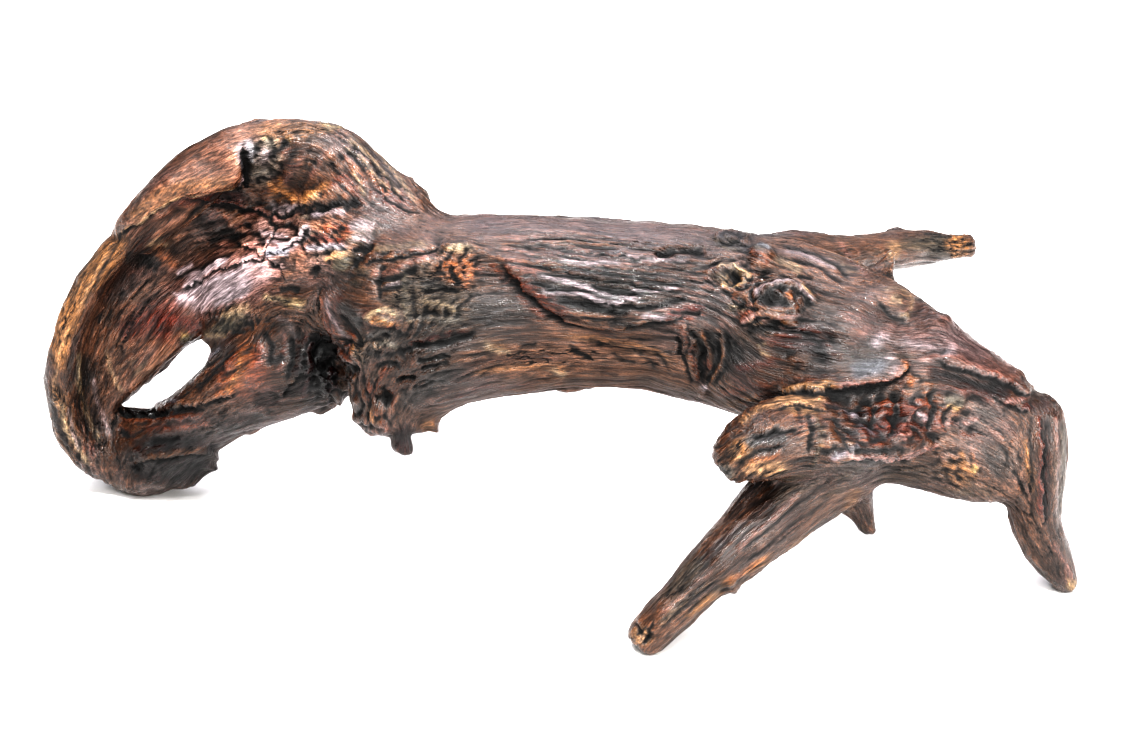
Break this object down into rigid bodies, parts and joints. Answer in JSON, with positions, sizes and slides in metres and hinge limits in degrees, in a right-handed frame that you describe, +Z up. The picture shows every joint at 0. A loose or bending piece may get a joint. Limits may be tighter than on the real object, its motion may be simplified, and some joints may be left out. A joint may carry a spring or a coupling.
{
  "type": "driftwood",
  "caption": "Stout driftwood trunk arching between a cupped root flare and a forked shoulder, resting on its root and leg tips.",
  "frame": {"origin": "middle of the footprint box, on the surface that the feet stand on", "axes": "+X along the trunk from the cupped root to the forked shoulder, +Y away from the open side of the cup, +Z up"},
  "size_m": [0.6226, 0.2846, 0.2542],
  "materials": {
    "wood": "weathered and oiled, dark reddish brown with ochre edges"
  },
  "bodies": {
    "root": {"driftwood": "wood"}
  },
  "joints": []
}
